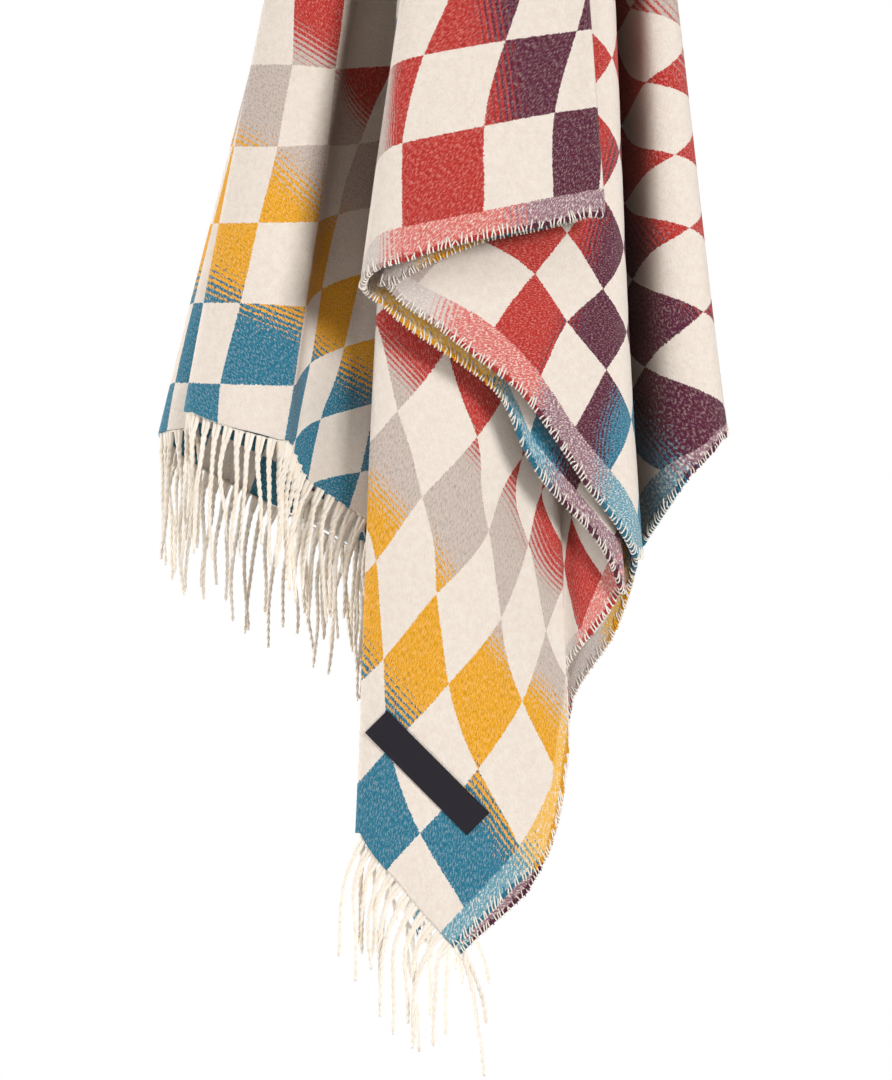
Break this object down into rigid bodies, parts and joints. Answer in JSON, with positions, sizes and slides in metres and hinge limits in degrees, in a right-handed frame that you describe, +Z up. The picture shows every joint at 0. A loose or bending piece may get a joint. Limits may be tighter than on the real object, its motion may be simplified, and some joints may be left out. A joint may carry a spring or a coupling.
{
  "type": "throw blanket",
  "caption": "Checkered throw blanket with fringed ends, as it hangs in folds from one point near its middle.",
  "frame": {"origin": "the point at the top that the blanket hangs from", "axes": "+Z up, -Y towards the viewer of the front, +X to the viewer's right"},
  "size_m": [0.4014, 0.2188, 1.3904],
  "materials": {
    "blanket": "soft brushed weave",
    "fringe": "twisted yarn",
    "label": "smooth woven ribbon"
  },
  "bodies": {
    "root": {"blanket": "blanket", "fringe_front_end": "fringe", "fringe_back_end": "fringe", "label": "label"}
  },
  "joints": []
}
